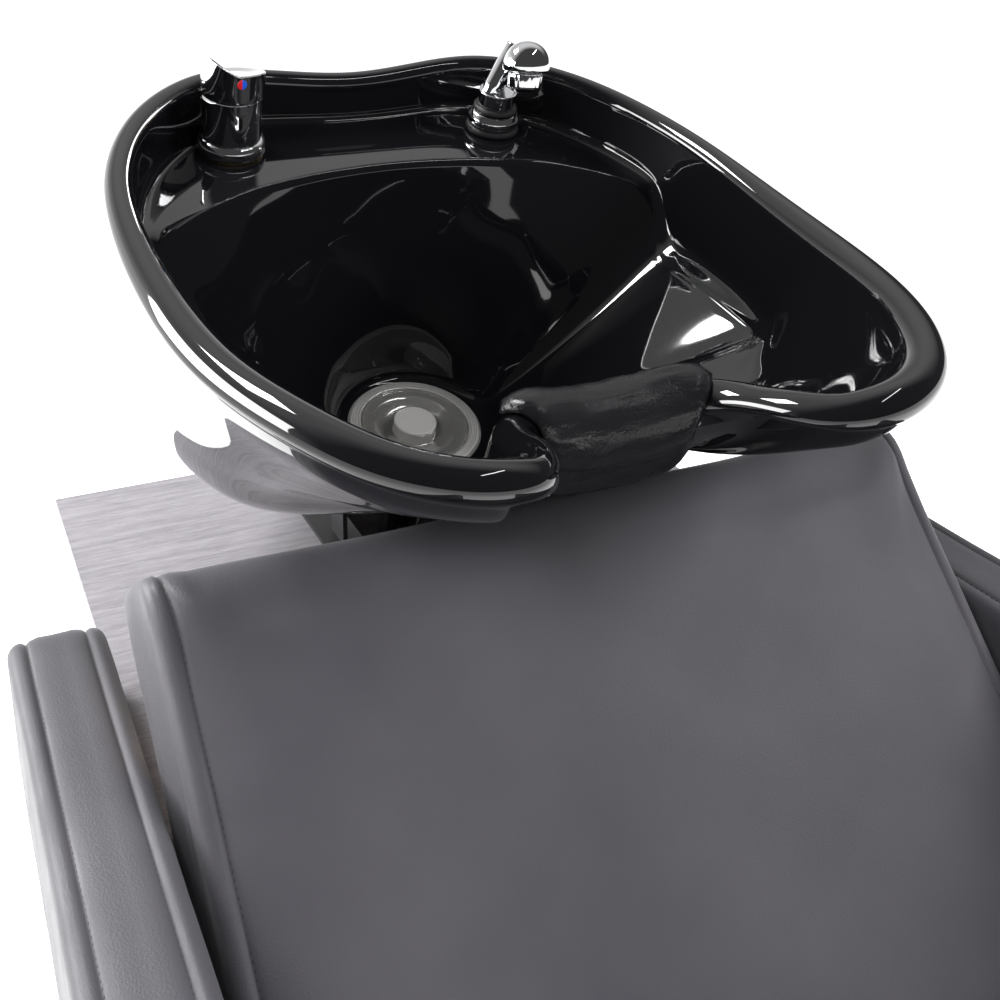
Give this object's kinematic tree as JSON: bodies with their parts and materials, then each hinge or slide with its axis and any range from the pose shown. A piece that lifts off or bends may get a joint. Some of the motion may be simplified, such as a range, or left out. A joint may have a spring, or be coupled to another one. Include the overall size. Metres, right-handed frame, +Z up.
{
  "type": "shampoo backwash unit",
  "caption": "Reclined salon wash seat with padded slab arms, a plumbing cabinet and a tilting black ceramic bowl with mixer, spray, strainer and neck rest.",
  "frame": {"origin": "middle of the unit on the floor", "axes": "+Z up, +Y from the seat towards the bowl and cabinet, +X to the right when looking along +Y"},
  "size_m": [0.714, 1.234, 0.9935],
  "materials": {
    "bowl_glaze": "high-gloss black glaze",
    "polished_chrome": "mirror-polished chrome plate",
    "brushed_steel": "brushed and turned stainless steel",
    "brass": "machined brass",
    "black_rubber": "matt black rubber",
    "neck_vinyl": "soft wrinkled satin black vinyl over gel",
    "upholstery": "charcoal faux leather with fine grain and topstitched seams",
    "seat_fascia": "charcoal faux leather over board",
    "laminate": "grey wood-grain laminate",
    "plywood": "raw plywood",
    "black_steel": "black powder-coated steel",
    "black_plastic": "textured black plastic",
    "indicator": "two-colour hot and cold dot"
  },
  "bodies": {
    "base": {"arm_foot_front_left": "black_plastic", "arm_foot_front_right": "black_plastic", "arm_foot_rear_left": "black_plastic", "arm_foot_rear_right": "black_plastic", "back_board": "plywood", "back_lower_rail": "plywood", "back_upper_rail": "plywood", "backrest_cushion": "upholstery", "bracket_screw_1": "brushed_steel", "bracket_screw_2": "brushed_steel", "bracket_screw_3": "brushed_steel", "bracket_screw_4": "brushed_steel", "cabinet_base_panel": "laminate", "cabinet_foot_front_left": "black_plastic", "cabinet_foot_front_right": "black_plastic", "cabinet_foot_rear_left": "black_plastic", "cabinet_foot_rear_right": "black_plastic", "cabinet_front_panel": "laminate", "cabinet_left_panel": "laminate", "cabinet_rear_rail": "laminate", "cabinet_right_panel": "laminate", "cabinet_top_panel": "laminate", "door_pivot_lower": "brushed_steel", "door_pivot_upper": "brushed_steel", "left_armrest": "upholstery", "right_armrest": "upholstery", "seat_board": "plywood", "seat_cushion": "upholstery", "seat_front_rail": "seat_fascia", "seat_rear_rail": "plywood", "tilt_base_bracket": "black_steel", "tilt_pivot_bolt_left": "brushed_steel", "tilt_pivot_bolt_right": "brushed_steel"},
    "bowl_assembly": {"bowl": "bowl_glaze", "neck_rest": "neck_vinyl", "bowl_gasket": "black_rubber", "tilt_cradle": "black_steel", "drain_strainer": "brushed_steel", "drain_locknut": "brushed_steel", "drain_tailpiece": "polished_chrome", "mixer_base_washer": "brass", "mixer_base_ring": "polished_chrome", "mixer_body": "polished_chrome", "mixer_cartridge": "brass", "mixer_locknut": "brass", "spray_lower_seal": "black_rubber", "spray_collar": "polished_chrome", "spray_upper_seal": "black_rubber", "spray_locknut": "brass"},
    "rear_door": {"rear_door": "laminate", "door_finger_ring": "black_plastic"},
    "lock_knob": {"tilt_lock_knob": "black_plastic"},
    "mixer_stem": {"mixer_stem": "brass"},
    "mixer_lever": {"mixer_lever": "polished_chrome", "mixer_indicator": "indicator"},
    "spray_handset": {"spray_handset": "polished_chrome", "spray_nozzle": "polished_chrome"},
    "drain_stopper": {"drain_stopper": "brushed_steel"}
  },
  "joints": [
    {"name": "bowl_tilt", "type": "hinge", "parent": "base", "child": "bowl_assembly", "pos_m": [0, 0.442, 0.628], "axis": [1, 0, 0], "range_deg": [-17.5, 0]},
    {"name": "lock_knob_turn", "type": "hinge", "parent": "base", "child": "lock_knob", "pos_m": [0, 0.442, 0.628], "axis": [1, 0, 0], "range_deg": [0, 180]},
    {"name": "door_swing", "type": "hinge", "parent": "base", "child": "rear_door", "pos_m": [-0.257, 0.608, 0.3], "axis": [0, 0, 1], "range_deg": [0, 100]},
    {"name": "mixer_turn", "type": "hinge", "parent": "bowl_assembly", "child": "mixer_stem", "pos_m": [-0.12, 0.52747, 0.96224], "axis": [0, -0.3007, 0.9537], "range_deg": [-45, 45]},
    {"name": "lever_lift", "type": "hinge", "parent": "mixer_stem", "child": "mixer_lever", "pos_m": [-0.12, 0.52747, 0.96224], "axis": [1, 0, 0], "range_deg": [0, 12]},
    {"name": "handset_lift", "type": "slide", "parent": "bowl_assembly", "child": "spray_handset", "axis": [0, -0.3007, 0.9537], "range_m": [0, 0.12]},
    {"name": "stopper_lift", "type": "slide", "parent": "bowl_assembly", "child": "drain_stopper", "axis": [0, -0.3007, 0.9537], "range_m": [0, 0.03]}
  ]
}
